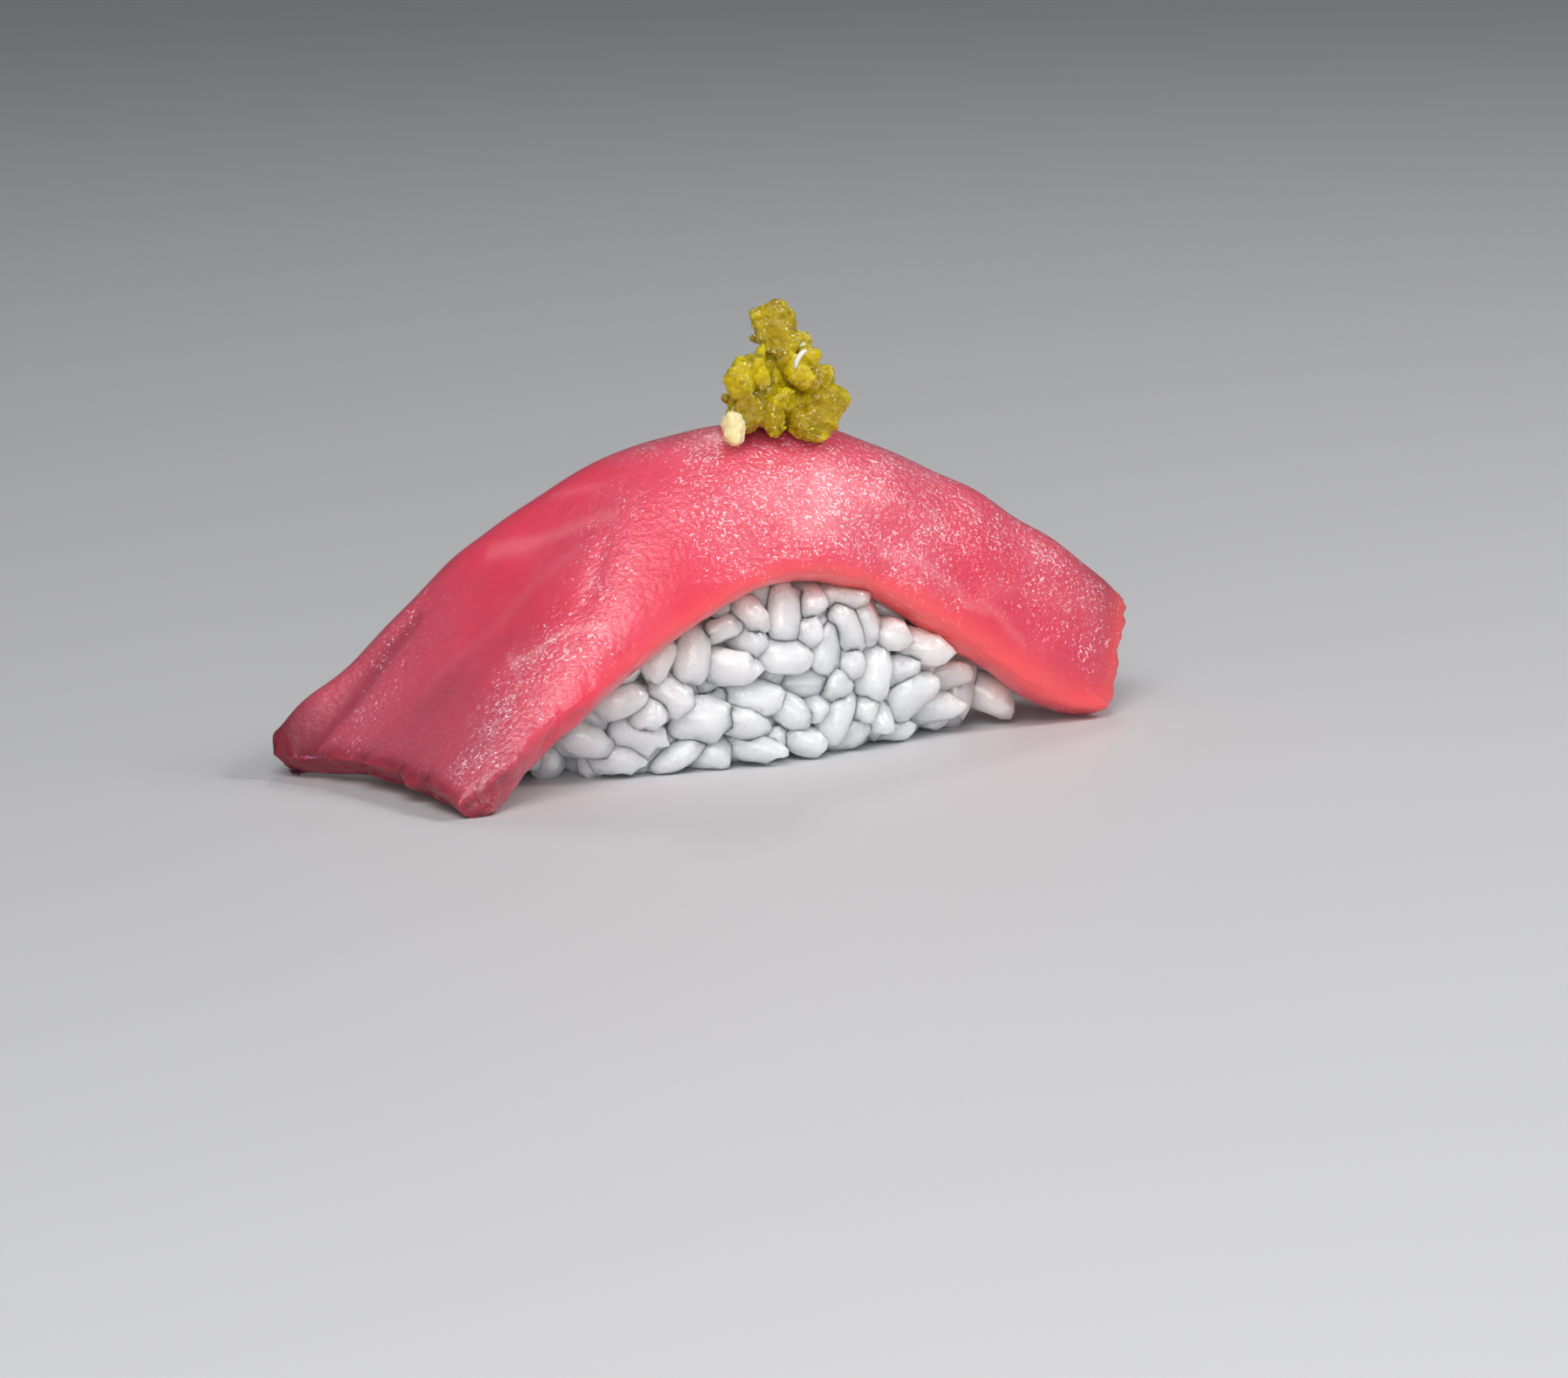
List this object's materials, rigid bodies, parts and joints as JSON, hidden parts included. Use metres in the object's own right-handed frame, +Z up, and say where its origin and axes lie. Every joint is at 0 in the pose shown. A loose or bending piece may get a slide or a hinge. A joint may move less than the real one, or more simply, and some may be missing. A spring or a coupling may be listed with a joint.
{
  "type": "tuna nigiri sushi",
  "caption": "Hand-pressed lump of rice under an arched slice of raw tuna, with a small heap of chopped wasabi on top.",
  "frame": {"origin": "middle of the bounding box's bottom face, on the board that the rice stands on", "axes": "+Z up, +X along the lump towards the slice's narrower end, -Y towards the side that shows the rice"},
  "size_m": [0.0836, 0.0312, 0.0425],
  "materials": {
    "tuna": "moist raw fish",
    "rice": "moist cooked rice",
    "wasabi": "wet chopped stem",
    "stem": "moist pale stem"
  },
  "bodies": {
    "root": {"tuna_slice": "tuna", "rice_lump": "rice", "wasabi_heap": "wasabi", "stem_piece": "stem"}
  },
  "joints": []
}
